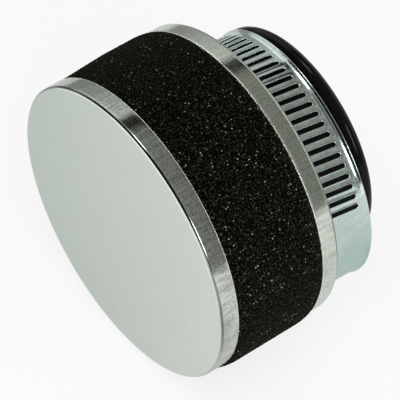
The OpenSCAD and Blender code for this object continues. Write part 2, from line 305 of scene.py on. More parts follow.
# %% [markdown]
# The caps are pressed from this sheet. The face was polished, so grain and
# clouds are strong on the rim only, and there they fade a little toward the
# right edge as painted light. Each cap is painted darker on its left side as
# painted shade. Round the bend a dark line is painted as a painted dark
# reflection, faint low on the cap, and the sheared edge is bare steel painted
# pale as a painted highlight. Separate materials on separate faces would give
# hard borders, so one material blends them by Y, the way along the axis.

# %% Finish of a cap
def cap_finish(name, tones, face_y, edge_y, bend_r, rough):
    """Plated cap: polished face, grained rim, painted shade on the left, a painted dark reflection round
    the bend and a pale sheared edge that is partly a painted highlight.
    """
    left, right, warm, dark = tones
    painted_dark_line, bare_steel_highlight = colour(0.03, 0.032, 0.03), colour(0.85, 0.87, 0.84)
    polished, bare_rough = 0.08, 0.6
    made, nodes = material(name)
    x = axis_value(nodes, "X")
    y = axis_value(nodes, "Y")
    side = 1 if edge_y > face_y else -1
    on_rim = nodes.spread(y, face_y + side * 0.2 * MM, face_y + side * bend_r, polished, 1)
    # painted shade: the colour runs from the darker left tone to the paler right one across X
    pale = nodes.mix(nodes.spread(x, -40 * MM, 42 * MM, smooth=False), left, right)
    # the rim's grain and clouds fade toward its right edge, painted light that makes the rim paler there
    worn = nodes.math("MULTIPLY", on_rim, nodes.spread(x, 35 * MM, 42 * MM, 1, 0.85))
    tint, grain = grained_colour(nodes, pale, warm, dark, worn)
    # painted dark reflection: a dark line painted into the colour round the bend
    painted_line_middle = face_y + side * 0.42 * bend_r
    bend = near_value(nodes, y, painted_line_middle, 0.2 * bend_r, 0.42 * bend_r)
    # the painted dark line is faint low on the cap and strong higher up
    thin = nodes.spread(axis_value(nodes, "Z"), -16 * MM, 4 * MM, 0.3, 0.75)
    tint = nodes.mix(nodes.math("MULTIPLY", bend, thin), tint, painted_dark_line)
    # the sheared edge is bare steel, and its pale colour is also a painted highlight line along the rim's
    # edge
    edge = near_value(nodes, y, edge_y, 0.18 * MM, 0.32 * MM)
    tint = nodes.mix(edge, tint, bare_steel_highlight)
    grain_rough = nodes.spread(grain, 0.3, 0.7, rough * 0.8, rough * 1.25)
    nodes.surface(
        Base_Color=tint,
        Metallic=1.0,
        Roughness=nodes.math("MAXIMUM", grain_rough, nodes.math("MULTIPLY", edge, bare_rough)),
        Normal=nodes.bump(grain, 0.004 * MM, 0.6),
    )
    return made


# %% [markdown]
# Clamp, screw and core carry the same plate. A darker tone is painted low on
# each piece's right side as painted shade; on the clamp it is a deep blue-green.
# Thin strip is never quite flat, so the reflections waver. Real dents in the
# mesh would do it too, but a slow ripple that only tilts the normal leaves each
# piece its true size and its gaps.

# %% Finish of clamp, screw and core
def plated_steel(name, pale, low, dark, rough, amount, wave):
    """Plated steel: pale, a darker tone painted low on its right side as painted shade, faint grain and
    waves of a given depth.
    """
    made, nodes = material(name)
    # painted shade: the low colour darkens the lower right side of the piece
    painted_shade_low = nodes.spread(axis_value(nodes, "Z"), -20 * MM, 6 * MM, 1, 0)
    painted_shade_right = nodes.spread(axis_value(nodes, "X"), 0, 25 * MM)
    tone_with_painted_shade = nodes.mix(nodes.math("MULTIPLY", painted_shade_low, painted_shade_right), pale, low)
    tint, grain = grained_colour(nodes, tone_with_painted_shade, tone_with_painted_shade, dark, amount)
    ripple = nodes.noise(150)
    fine = nodes.bump(grain, 0.004 * MM, 0.5)
    nodes.surface(
        Base_Color=tint,
        Metallic=1.0,
        Roughness=nodes.spread(grain, 0.3, 0.7, rough * 0.8, rough * 1.25),
        Normal=nodes.bump(ripple, wave, 0.6, fine),
    )
    return made


# %% The five steels
# The first tone of each cap is its painted shade on the left side, the second its paler right side.
cap_tones_shaded_left = [
    colour(0.56, 0.63, 0.575), colour(0.725, 0.77, 0.73),
    colour(0.60, 0.58, 0.51), colour(0.30, 0.33, 0.29),
]
rear_tones_shaded_left = [
    colour(0.70, 0.77, 0.69), colour(0.71, 0.78, 0.70),
    colour(0.73, 0.73, 0.65), colour(0.46, 0.49, 0.44),
]
cap_steel = cap_finish("plated_cap_steel", cap_tones_shaded_left, cap_low.y, cap_high.y, front_bend_r, 0.13)
rear_steel = cap_finish("plated_rear_steel", rear_tones_shaded_left, rear_high.y, rear_low.y, rear_bend_r, 0.16)
# The second colour of each steel is its painted shade, low on the right side.
clamp_steel = plated_steel(
    "plated_clamp_steel", colour(0.61, 0.71, 0.685), colour(0.36, 0.55, 0.525), colour(0.34, 0.40, 0.38),
    rough=0.16, amount=0.35, wave=0.25 * MM,
)
screw_steel = plated_steel(
    "plated_screw_steel", colour(0.62, 0.66, 0.65), colour(0.5, 0.56, 0.55), colour(0.3, 0.32, 0.31),
    rough=0.26, amount=0.35, wave=0.03 * MM,
)
core_steel = plated_steel(
    "galvanised_core_steel", colour(0.55, 0.57, 0.57), colour(0.5, 0.53, 0.53), colour(0.3, 0.32, 0.33),
    rough=0.35, amount=0.8, wave=0.1 * MM,
)
print("steels:", [steel.name for steel in (cap_steel, rear_steel, clamp_steel, screw_steel, core_steel)])

# %% [markdown]
# Filter foam is an open mesh of tiny black struts. Light catches single struts
# as fine grey specks, and here and there one mirrors a lamp. Real struts would
# take millions of faces, so the sleeve's mesh holds only the larger pores. A
# texture of random cells adds the finest ones, and the random colour of each
# cell picks the few that get a painted glint: a pale spot in the base colour
# that stands for a strut mirroring a lamp.


# %% Filter foam
def filter_foam():
    """Near-black open foam: dark pores, dull struts and a few painted glints, pale specks in the base
    colour.
    """
    made, nodes = material("filter_foam")
    pores = nodes.add("ShaderNodeTexVoronoi", Scale=2100.0, Vector=nodes.place())
    speck = nodes.add("ShaderNodeTexVoronoi", Scale=1500.0, Vector=nodes.place())
    parts = nodes.add("ShaderNodeSeparateColor", Color=speck.outputs["Color"])
    strut = nodes.spread(pores.outputs["Distance"], 0.25, 0.7)
    lit = nodes.spread(nodes.noise(1900), 0.45, 0.72)
    pore_black, strut_grey = colour(0.0008, 0.0008, 0.0005), colour(0.031, 0.031, 0.021)
    dull = nodes.mix(nodes.math("MULTIPLY", strut, lit), pore_black, strut_grey)
    near = nodes.spread(speck.outputs["Distance"], 0.1, 0.4, 1, 0)
    few = nodes.math("POWER", parts.outputs[0], 16.0)
    # painted glint: the few chosen cells get a pale base colour that stands for a strut mirroring a lamp
    painted_glint = nodes.math("MULTIPLY", near, few)
    nodes.surface(
        Base_Color=nodes.mix(painted_glint, dull, colour(0.42, 0.43, 0.37)),
        Roughness=0.8,
        Specular_IOR_Level=0.0,
        Sheen_Weight=0.028,
        Sheen_Tint=colour(1, 0.98, 0.7),
        Sheen_Roughness=0.4,
        Normal=nodes.bump(strut, 0.2 * MM, 0.8),
    )
    return made


foam_finish = filter_foam()
print("foam finish:", foam_finish.name)

# %% [markdown]
# The neck is moulded black rubber. Its lip is handled and wiped, so it is
# glossy there and dull elsewhere, and faint ripples break up the highlight. Two
# materials would give a border, so roughness follows Y instead.

# %% Neck rubber
def neck_rubber():
    """Moulded black rubber: a glossy lip, a dull tube and faint ripples."""
    made, nodes = material("neck_rubber")
    ripple = nodes.noise(300, 2, (1, 0.3, 1))
    fine = nodes.noise(2500)
    dull, glossy = 0.6, 0.09
    on_lip = nodes.spread(axis_value(nodes, "Y"), neck_high.y - 6 * MM, neck_high.y - 4 * MM)
    worn = nodes.spread(ripple, 0.3, 0.7, 0, 0.06)
    nodes.surface(
        Base_Color=nodes.mix(fine, colour(0.002, 0.002, 0.002), colour(0.005, 0.005, 0.005)),
        Roughness=nodes.math("ADD", worn, nodes.spread(on_lip, 0, 1, dull, glossy)),
        Specular_IOR_Level=0.1,
        Normal=nodes.bump(ripple, 0.03 * MM, 0.3),
    )
    return made


rubber_finish = neck_rubber()
print("neck finish:", rubber_finish.name)

# %% [markdown]
# The front cap is a shallow pan: a flat face, a tight bend and a short rim
# with a cut edge. A bevelled cylinder with a wall would come close, but its
# bend and its cut edge need two radii. So the profile runs from the axis over
# the outside, round the cut edge and back along the inside.


# %% Front cap
def pan_profile(face_y, rim_y, bend, side):
    """Arcs of a pan: outer bend, cut edge and inner bend. Side is 1 or -1, the way from face to rim."""
    inner_bend = 0.1 * MM
    inner_r = body_r - cap_t
    turn = -90 * side
    edge_y = rim_y - side * cut_edge_r
    outside = arc((body_r - bend, face_y + side * bend), bend, turn, 0, 18)
    edge = np.vstack([
        arc((body_r - cut_edge_r, edge_y), cut_edge_r, 0, 90 * side, 4),
        arc((inner_r + cut_edge_r, edge_y), cut_edge_r, 90 * side, 180 * side, 4),
    ])
    inside_y = face_y + side * (cap_t + inner_bend)
    inside = arc((inner_r - inner_bend, inside_y), inner_bend, 0, turn, 4)
    return outside, edge, inside


outside, edge, inside = pan_profile(cap_low.y, cap_high.y, front_bend_r, 1)
face_rings = np.array([0, 8, 16, 24, 32, 38, 41, 42.2]) * MM
face = np.stack([face_rings, np.full(len(face_rings), cap_low.y)], 1)
back = np.stack([face_rings[::-1], np.full(len(face_rings), cap_low.y + cap_t)], 1)
rim_rows = np.linspace(outside[-1], edge[0], 6)[1:-1]
front_profile = np.vstack([face, outside, rim_rows, edge, inside, back])
front_cap = lathe("front_cap_skin", front_profile, cap_steel)
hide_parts("front_cap")

# %% [markdown]
# The rear cap is the same kind of pan turned round, with a large hole for the
# neck. A boolean could cut the hole, but it is simpler to start the profile at
# the hole's edge.

# %% Rear cap
outside, edge, inside = pan_profile(rear_high.y, rear_low.y, rear_bend_r, -1)
plate_mid_r = 36 * MM
plate_low, plate_high = rear_high.y - cap_t, rear_high.y
plate = np.array([[plate_hole_r, plate_low], [plate_hole_r, plate_high], [plate_mid_r, plate_high]])
rim_rows = np.linspace(outside[-1], edge[0], 6)[1:-1]
rear_profile = np.vstack([plate, outside, rim_rows, edge, inside])
rear_cap = lathe("rear_cap_skin", rear_profile, rear_steel)
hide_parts("rear_cap")


# %% [markdown]
# The foam sleeve is squeezed between the caps, so it swells out past their
# rims, with a round shoulder at each. It is a little fuller on the lower right
# and thinner on the upper left, where the front rim also presses it down. Foam
# bonded to its caps doesn't drape, so no cloth is simulated: the radius is the
# plain one, plus a crown that rises over each shoulder as a quarter circle,
# plus the pores. Small dents could be sculpted for these. Here they are a
# random height of which only waves of the pore's size are left, and taking the
# noise apart into its waves does that for the whole sleeve in one step.

# %% Pores
def pore_field(rows, cols, row_step, col_step, pore, seed):
    """Random heights from -1 to 1 with waves about one pore long.

    Each wave of the noise is kept by e to the power of -(pore / wavelength - 1)^2 / 0.18. What is
    left is divided by 2.5 times its spread and clipped.
    """
    noise = np.random.default_rng(seed).standard_normal((rows, cols))
    row_wave = np.fft.fftfreq(rows, row_step)[:, None]
    col_wave = np.fft.fftfreq(cols, col_step)[None, :]
    wave = np.hypot(row_wave, col_wave) * pore
    kept = np.exp(-((wave - 1) ** 2) / 0.18)
    field = np.real(np.fft.ifft2(np.fft.fft2(noise) * kept))
    return np.clip(field / (2.5 * field.std()), -1, 1)


rim_gap = 0.1 * MM
gap_low = cap_high.y + rim_gap
gap_high = rear_low.y - rim_gap
foam_steps, foam_rows = 900, 94
foam_r = body_r - foam_inset
pore, pore_depth = 1.0 * MM, 0.1 * MM
step_size = 2 * np.pi * foam_r / foam_steps
row_size = (gap_high - gap_low) / foam_rows
pores = pore_field(foam_steps, foam_rows, step_size, row_size, pore, 7)
print("pores from", pores.min(), "to", pores.max())

# %% Foam sleeve
proud = 0.75 * MM
uneven = 0.2 * MM
shoulder = 4 * MM
thin_dir = math.radians(147)
press_reach = 14 * MM
y = np.linspace(gap_low, gap_high, foam_rows)
from_rim = np.minimum(y - gap_low, gap_high - y)
rise = np.sqrt(1 - (1 - np.clip(from_rim / shoulder, 0, 1)) ** 2)
turn = np.linspace(0, 2 * np.pi, foam_steps, endpoint=False)[:, None]
thin = 0.5 + 0.5 * np.cos(turn - thin_dir)
pressed = proud * thin ** 3 * np.clip(1 - (y - gap_low) / press_reach, 0, 1)
crown = foam_inset + proud + uneven * (1 - 2 * thin) - pressed
radius = foam_r + crown * rise + pores * pore_depth
skin = np.stack([radius * np.cos(turn), y + 0 * radius, radius * np.sin(turn)], -1)
foam_lowest = skin[..., 2].min()
tucked_r = body_r - cap_t - 0.2 * MM
tuck_y = 0.3 * MM
ends = [
    [tucked_r, gap_high + tuck_y], [tucked_r, foam_high.y - rear_bend_r],
    [tucked_r - rear_bend_r, foam_high.y], [foam_in_r, foam_high.y], [foam_in_r, foam_low.y],
    [tucked_r - front_bend_r, foam_low.y], [tucked_r, foam_low.y + front_bend_r],
    [tucked_r, gap_low - tuck_y],
]
hidden = lathe_points(np.array(ends), foam_steps)
points = np.concatenate([skin, hidden], 1)
quads = grid_quads(foam_steps, points.shape[1], wrap_rows=True, wrap_cols=True)
foam = add_piece("foam_sleeve_skin", points.reshape(-1, 3), quads, foam_finish, "filter", 80)
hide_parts("foam_sleeve")

# %% [markdown]
# The neck is one rubber moulding: a flange inside the rear cap, a groove that
# grips the sheet, a tube and a rounded lip. It could be a stack of rings joined
# by booleans. One profile gives the same form as one clean shell.

# %% Rubber neck
lip_r = neck_high.x
lip_round_r = 2 * MM
lip_y = neck_high.y - lip_round_r
mouth_r = 0.4 * MM
flange_low = neck_low.y
flange_high = rear_high.y - cap_t - 0.1 * MM
tube_low = rear_high.y + 0.1 * MM
flange_out = 32.1 * MM
flange_round = 0.8 * MM
neck_profile = np.vstack([
    [[bore_r, flange_low]],
    arc((flange_out - flange_round, flange_low + flange_round), flange_round, -90, 0, 8),
    arc((flange_out - flange_round, flange_high - flange_round), flange_round, 0, 90, 8),
    [[groove_r, flange_high], [groove_r, tube_low], [neck_r, tube_low]],
    [[neck_r, tube_low + 5 * MM], [neck_r, lip_y - lip_round_r]],
    arc((lip_r - lip_round_r, lip_y), lip_round_r, -90, 90, 32),
    [[bore_r + mouth_r, neck_high.y]],
    arc((bore_r + mouth_r, neck_high.y - mouth_r), mouth_r, 90, 180, 6),
])
neck = lathe("rubber_neck_skin", neck_profile, rubber_finish)
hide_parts("rubber_neck")

# %% [markdown]
# The hose clamp hangs loose on the neck, a little off centre and leaning. Its
# pieces are drawn round their own axis first, with the housing at angle 0, and
# then put in place by one turn and one shift. An empty as a parent would do it
# too, but each piece's place has to be in its mesh. The numbers are the packed
# clamp's own.

# %% Place of the clamp
clamp_lean = math.radians(3.8)
clamp_lean_dir = math.radians(-33)
housing_dir = math.radians(149.8)
clamp_centre = np.array([1.72664, 3.52275, 48.9432]) * MM
body_length = -cap_low.y


def turn_z(angle):
    """Rotation about Z."""
    c, s = math.cos(angle), math.sin(angle)
    return np.array([[c, -s, 0], [s, c, 0], [0, 0, 1]])


def turn_y(angle):
    """Rotation about Y."""
    c, s = math.cos(angle), math.sin(angle)
    return np.array([[c, 0, s], [0, 1, 0], [-s, 0, c]])


clamp_turn = turn_z(clamp_lean_dir) @ turn_y(clamp_lean) @ turn_z(housing_dir - clamp_lean_dir)


def on_neck(points):
    """Points of the clamp's own frame, leaned and shifted, with the filter's axis laid along Y."""
    placed = points @ clamp_turn.T + clamp_centre
    return np.stack([placed[..., 0], placed[..., 2] - body_length, -placed[..., 1]], -1)


print("clamp turn\n", np.round(clamp_turn, 3))

# %% [markdown]
# The band is one steel strip, made flat, punched and then bent round. The mesh
# follows the same order: a strip of two lengths, s along it and w across it, is
# laid onto two arcs that meet at the step. Cutting slots into a bent strip with
# booleans would spoil its shading. Both edges are turned outward in a growing
# curve. The slots' outer rims are rolled over by the punch, and that soft rim
# is what shines round each slot.

# %% Shape of the band
ring_r = 35.85 * MM
band_t = 0.65 * MM
band_half_w = 7.1 * MM
edge_w = 1.6 * MM
edge_rise = 0.6 * MM
step_shift = 2.2 * MM
tail_turn = math.radians(30.47)
anchor_turn = math.radians(8)
tail_corner_r = 3.5 * MM
slot_pitch = 3.055 * MM
slot_len = 8.8 * MM
slot_w = 1.3 * MM
slot_shear = math.tan(math.radians(6.6))
slot_arc = math.radians(189.7)
ring_slots, step_slots = 27, 18
ring_mid_r = ring_r + band_t / 2
step_mid_r = ring_mid_r + step_shift
step_turn = slot_arc - (ring_slots - 0.5) * slot_pitch / ring_mid_r
flat_half_w = band_half_w - edge_w


def strip_point(s, w, h):
    """Place on the strip: s from the step along it, w across it and h out from its inner face.

    The angle is the step's angle plus s over the arc's middle radius. The radius is the arc's own
    plus h and a lift, which grows with the square of the way past the flat part. The arc before the
    step is larger, and its centre is shifted back so that both meet there.
    """
    on_ring = s > 0
    inner = np.where(on_ring, ring_r, ring_r + step_shift)
    angle = step_turn + s / (inner + band_t / 2)
    lift = edge_rise * (np.clip(np.abs(w) - flat_half_w, 0, None) / edge_w) ** 2
    radius = inner + h + lift
    shift = np.where(on_ring, 0, step_shift)
    x = radius * np.cos(angle) - shift * math.cos(step_turn)
    y = radius * np.sin(angle) - shift * math.sin(step_turn)
    return on_neck(np.stack(np.broadcast_arrays(x, y, w), -1))


slots = (np.arange(-step_slots, ring_slots) + 0.5) * slot_pitch
between = (slots[1:] + slots[:-1]) / 2
cell_edges = np.concatenate([[slots[0] - slot_pitch / 2], between, [slots[-1] + slot_pitch / 2]])
strip_start = -(step_turn + tail_turn) * step_mid_r
strip_end = (2 * math.pi + anchor_turn - step_turn) * ring_mid_r
print(len(slots), "slots on a strip", round((strip_end - strip_start) / MM, 1), "mm long")

# %% [markdown]
# Each slot sits in a cell of the strip. One quad cell could be subdivided until
# its hole looks round, but matched rings need far fewer faces: the cell's
# border and the slot's rim get the same number of points, and rings between
# them carry the surface from the border to the rim, down the rolled edge,
# through the wall and back to the border on the inner face.

# %% Cells with punched slots
end_steps, side_steps = 8, 14


def cell_border():
    """Border of a cell from -1 to 1 both ways: bottom, right, top and left side."""
    along = np.linspace(-1, 1, end_steps, endpoint=False)
    across = np.linspace(-1, 1, side_steps, endpoint=False)
    u = np.concatenate([along, np.ones(side_steps), -along, -np.ones(side_steps)])
    v = np.concatenate([-np.ones(end_steps), across, np.ones(end_steps), -across])
    return u, v


def slot_rim(offset):
    """Slot's outline, grown by an offset: half circle, straight side, half circle, straight side.

    A half circle is the radius times (cos, sin), moved along w by half the straight length.
    """
    straight = (slot_len - slot_w) / 2
    radius = slot_w / 2 + offset
    half = np.linspace(0, np.pi, end_steps, endpoint=False)
    across = np.linspace(-1, 1, side_steps, endpoint=False) * straight
    x = np.concatenate([-np.cos(half), np.ones(side_steps), np.cos(half), -np.ones(side_steps)]) * radius
    w = np.concatenate([
        -straight - np.sin(half) * radius, across,
        straight + np.sin(half) * radius, -across,
    ])
    return x, w


# %% All cells at once
roll = 0.13 * MM
bead = 0.055 * MM
roll_angle = np.radians([0, 25, 50, 70, 90])
# A ring is a distance out from the slot's wall and a height over the inner face.
rings = [(0.36 * MM, band_t), (0.28 * MM, band_t + 0.3 * bead), (0.2 * MM, band_t + 0.85 * bead)]
rings += [(roll * (1 - math.sin(a)), band_t + bead - roll * (1 - math.cos(a))) for a in roll_angle]
rings += [(0, 0.05 * MM), (0.05 * MM, 0), (0.3 * MM, 0)]
u, v = cell_border()
left = (cell_edges[:-1] - slots)[:, None]
right = (cell_edges[1:] - slots)[:, None]
border_w = v * flat_half_w
border_s = slots[:, None] + np.where(u < 0, -u * left, u * right) + slot_shear * border_w
layers = [strip_point(border_s, border_w + 0 * border_s, band_t)]
for offset, height in rings:
    x, w = slot_rim(offset)
    layers.append(strip_point(slots[:, None] + x + slot_shear * w, w + 0 * slots[:, None], height))
layers.append(strip_point(border_s, border_w + 0 * border_s, 0))
cells = np.stack(layers, 2)
cell_count, around, depth, _ = cells.shape
one_cell = grid_quads(around, depth, wrap_rows=True)
cell_quads = (one_cell[None] + (np.arange(cell_count) * around * depth)[:, None, None]).reshape(-1, 4)
print(cell_count, "cells of", len(one_cell), "faces")

# %% [markdown]
# The plain stretches and both turned edges are grids between lines that cross
# the strip. Straight lines would be easier, but these have to meet the cells,
# so beside the slots they slant as the slots do, and toward the free end they
# bend into its two round corners.

# %% Lines across the strip
tail_cols, plain_cols = 14, 150


def corner_inset(w):
    """How far the free end draws back at w: radius less the root of radius^2 - beyond^2."""
    beyond = np.clip(np.abs(w) - (band_half_w - tail_corner_r), 0, tail_corner_r)
    return tail_corner_r - np.sqrt(tail_corner_r ** 2 - beyond ** 2)


def line_s(w):
    """Place along the strip of every line, as rows, at each w: free end, cells, plain stretch.

    The first lines blend from the round free end to the first cell. The cells' lines all slant
    by slot_shear times w. The plain stretch blends from that slant to a straight end.
    """
    w = w[None, :]
    share = np.linspace(0, 1, tail_cols, endpoint=False)[:, None]
    first = cell_edges[0] + slot_shear * w
    tail = (1 - share) * (strip_start + corner_inset(w)) + share * first
    centre = np.repeat(slots, end_steps)[:, None]
    step = np.tile(np.linspace(-1, 1, end_steps, endpoint=False), len(slots))[:, None]
    near = np.repeat(slots - cell_edges[:-1], end_steps)[:, None]
    far = np.repeat(cell_edges[1:] - slots, end_steps)[:, None]
    slotted = centre + np.where(step < 0, step * near, step * far) + slot_shear * w
    share = np.linspace(0, 1, plain_cols)[:, None]
    plain = cell_edges[-1] + (strip_end - cell_edges[-1]) * share + slot_shear * w * (1 - share)
    return np.concatenate([tail, slotted, plain])


edge_round = 0.22 * MM
rise_w = np.linspace(flat_half_w, band_half_w - edge_round, 9)
tip_angle = np.radians([22, 45, 68, 90])
tip_w = band_half_w - edge_round + edge_round * np.sin(tip_angle)
tip_h = edge_round * (1 - np.cos(tip_angle))
edge_line_w = np.concatenate([rise_w, tip_w, tip_w[::-1], rise_w[::-1]])
edge_line_h = np.concatenate([0 * rise_w + band_t, band_t - tip_h, tip_h[::-1], 0 * rise_w])
flat_w = np.linspace(-1, 1, side_steps + 1) * flat_half_w
first_cell, last_cell = tail_cols, tail_cols + len(slots) * end_steps
print(len(line_s(flat_w)), "lines across the strip")

# %% [markdown]
# The band is now put together: the cells, two grids for the turned edges, four
# for the plain stretches outside and inside, and one to close each end. They
# share their border points, so merging makes one closed shell of them.

# %% Put the band together
groups, quad_groups = [cells.reshape(-1, 3)], [cell_quads]


def add_grid(points):
    """Adds one grid of points to the band."""
    rows, cols, _ = points.shape
    quad_groups.append(grid_quads(rows, cols, start=sum(map(len, groups))))
    groups.append(points.reshape(-1, 3))


for sign in (1, -1):
    s_here = line_s(edge_line_w * sign)
    add_grid(strip_point(s_here, edge_line_w * sign + 0 * s_here, edge_line_h + 0 * s_here))
s_flat = line_s(flat_w)
for height in (band_t, 0):
    for part in (slice(0, first_cell + 1), slice(last_cell, None)):
        here = s_flat[part]
        add_grid(strip_point(here, flat_w + 0 * here, height))
half = len(edge_line_w) // 2
end_w = np.concatenate([-edge_line_w[:half][::-1], flat_w[1:-1], edge_line_w[:half]])
end_out = np.concatenate([edge_line_h[:half][::-1], np.full(len(flat_w) - 2, band_t), edge_line_h[:half]])
for index in (0, -1):
    s_end = line_s(end_w)[index]
    add_grid(np.stack([strip_point(s_end, end_w, end_out), strip_point(s_end, end_w, band_t - end_out)]))
band_points, band_quads = np.concatenate(groups), np.concatenate(quad_groups)
band = add_piece("clamp_band_skin", band_points, band_quads, clamp_steel, "filter")
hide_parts("clamp_band")

# %% [markdown]
# The saddle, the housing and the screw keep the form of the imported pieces, so
# there is no need to model them again. Each gets a copy whose loose triangles
# are merged, and a Bevel modifier that breaks its edges, because real sheet and
# turned parts have no razor edges. The perforated core is right as it is: only
# its finish is set.


# %% Pieces with broken edges
def eased_copy(node, name, width, finish, body):
    """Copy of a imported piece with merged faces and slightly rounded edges."""
    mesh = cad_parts[node].data.copy()
    work = bmesh.new()
    work.from_mesh(mesh)
    bmesh.ops.remove_doubles(work, verts=work.verts, dist=0.001 * MM)
    bmesh.ops.dissolve_limit(work, angle_limit=math.radians(0.5), verts=work.verts, edges=work.edges)
    work.to_mesh(mesh)
    work.free()
    mesh.materials.clear()
    mesh.materials.append(finish)
    mesh.polygons.foreach_set("use_smooth", np.ones(len(mesh.polygons), bool))
    mesh.set_sharp_from_angle(angle=math.radians(30))
    piece = bpy.data.objects.new(name, mesh)
    bpy.context.scene.collection.objects.link(piece)
    bevel = piece.modifiers.new("broken_edges", "BEVEL")
    bevel.width = width
    bevel.segments = 2
    bevel.limit_method = "ANGLE"
    bevel.angle_limit = math.radians(35)
    bevel.harden_normals = True
    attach(piece, body)
    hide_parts(node)
    print(name, "has", len(mesh.polygons), "faces before its bevel")


eased_copy("clamp_saddle", "clamp_saddle_skin", 0.1 * MM, clamp_steel, "filter")
eased_copy("clamp_housing", "clamp_housing_skin", 0.12 * MM, clamp_steel, "filter")
eased_copy("clamp_screw", "clamp_screw_skin", 0.12 * MM, screw_steel, "screw")
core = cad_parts["perforated_core"]
core.data.materials.clear()
core.data.materials.append(core_steel)
print("core keeps its", len(core.data.polygons), "faces")

# %% [markdown]
# The worm's thread is a low rounded ridge. A Screw modifier could wind it, but
# a formula also lets it fade out at both ends: the angle goes once round for
# each slot's length of travel, and the height is the rise times
# (1 - across^2)^0.7, from edge to edge of the ridge. The band isn't drawn along
# when the screw turns here, so the ridge stays just clear of the slots.

# %% Worm thread
screw_x = 41.3312 * MM
worm_core_r = 3.4 * MM
thread_rise = 0.24 * MM
thread_half_w = 0.75 * MM
worm_half = 5.1 * MM
fade_len = 0.8 * MM
sunk, root_depth = 0.1 * MM, 0.15 * MM
travel_end = worm_half - thread_half_w
travel = np.linspace(-travel_end, travel_end, 260)[:, None]
across = np.linspace(-1, 1, 9)[None, :]
fade = np.clip((travel_end - np.abs(travel)) / fade_len, 0, 1)
ridge = worm_core_r - sunk + (thread_rise + sunk) * fade * (1 - across ** 2) ** 0.7
angle = np.pi - 2 * np.pi * travel / slot_pitch
along = travel + across * thread_half_w
thread_top = np.stack([screw_x + ridge * np.cos(angle), along, ridge * np.sin(angle)], -1)
root = worm_core_r - root_depth + 0 * ridge
thread_root = np.stack([screw_x + root * np.cos(angle), along, root * np.sin(angle)], -1)
loop = np.concatenate([thread_top, thread_root[:, ::-1]], 1)
rows, cols, _ = loop.shape
k = np.arange(across.size - 1)
end_quads = np.stack([k, k + 1, cols - 2 - k, cols - 1 - k], 1)
side_quads = grid_quads(rows, cols, wrap_cols=True)
thread_quads = np.concatenate([side_quads, end_quads, end_quads + (rows - 1) * cols])
thread = add_piece("worm_thread", on_neck(loop).reshape(-1, 3), thread_quads, screw_steel, "screw")

# %% [markdown]
# The camera looks down on the filter from a long way off through a long lens,
# so that its round forms hardly shrink with distance. A track constraint could
# aim it, but a fixed way of looking keeps the frame where it is.

# %% Camera
camera_place = (0.42448, -0.36057, 0.60262)
camera_way = Vector((-0.5242, 0.4038, -0.7498))
camera_data = bpy.data.cameras.new("camera")
camera_data.lens = 270
camera_data.sensor_width = 36
camera_data.clip_end = 20
camera = bpy.data.objects.new("camera", camera_data)
camera.location = camera_place
camera.rotation_euler = camera_way.to_track_quat("-Z", "Y").to_euler()
bpy.context.scene.collection.objects.link(camera)
bpy.context.scene.camera = camera
print("camera at", camera_place, "with a lens of", camera_data.lens, "mm")

# %% [markdown]
# The floor is a pale sheet of paper that the filter's foam just touches. Plain
# white paint would turn grey away from the lamps, so part of what the camera
# sees of it glows. It keeps a faint shadow for the camera and a fuller one in
# metal, which needs that contrast to look like metal.


# %% Floor
def stage_piece(name, points, quads, finish):
    """Piece of the studio, not of the object, from points (n, 3) and quads (m, 4)."""
    mesh = bpy.data.meshes.new(name)
    mesh.from_pydata(np.reshape(points, (-1, 3)).tolist(), [], np.asarray(quads).tolist())
    mesh.materials.append(finish)
    piece = bpy.data.objects.new(name, mesh)
    bpy.context.scene.collection.objects.link(piece)
    return piece


def seen_rays(nodes):
    """1 for what the camera sees, straight, in a mirror or through glass, and 0 for soft light."""
    path = nodes.add("ShaderNodeLightPath")
    seen = nodes.math("MAXIMUM", path.outputs["Is Camera Ray"], path.outputs["Is Glossy Ray"])
    return nodes.math("MAXIMUM", seen, path.outputs["Is Transmission Ray"])


def floor_finish():
    """White floor: mostly glow for the camera, mostly lit paper in metal, only paper for soft light."""
    camera_glow, mirror_glow = 0.8, 0.1
    made, nodes = material("studio_floor")
    soft = nodes.add("ShaderNodeBsdfDiffuse", Color=colour(0.85, 0.86, 0.85))
    white = nodes.add("ShaderNodeEmission", Color=colour(1, 1, 1), Strength=1.0)
    glossy = nodes.add("ShaderNodeLightPath").outputs["Is Glossy Ray"]
    less = nodes.math("MULTIPLY", glossy, camera_glow - mirror_glow)
    share = nodes.math("SUBTRACT", camera_glow, less)
    blend = nodes.tree.nodes.new("ShaderNodeMixShader")
    nodes.put(blend.inputs[0], nodes.math("MULTIPLY", seen_rays(nodes), share))
    nodes.put(blend.inputs[1], soft.outputs[0])
    nodes.put(blend.inputs[2], white.outputs[0])
    nodes.show(blend)
    return made


floor_half = 4.0
floor_y, floor_x = np.meshgrid([-floor_half, floor_half], [-floor_half, floor_half])
floor_z = float(foam_lowest)
floor_points = np.stack([floor_x, floor_y, np.full((2, 2), floor_z)], -1)
stage_piece("floor", floor_points, [[0, 2, 3, 1]], floor_finish())
print("floor at", floor_z)

# %% [markdown]
# Polished metal shows its surroundings more than its own colour. A photo of a
# studio on the world would do, but no pictures are used here, so a dome round
# the filter is painted by two ramps. One goes by the turn about the axis: grey
# walls on the right and above, a dark stripe at the upper left, and a paler
# wall beyond. The other lays two bright panels, low on the right and overhead,
# on a band that lies mostly in front of the dome's middle. On the right a dark
# arc follows behind that band, farther back the walls dim, the far end is
# bright, and the near end is dark. Only mirror rays see the dome, so it neither
# lights nor shades the piece.

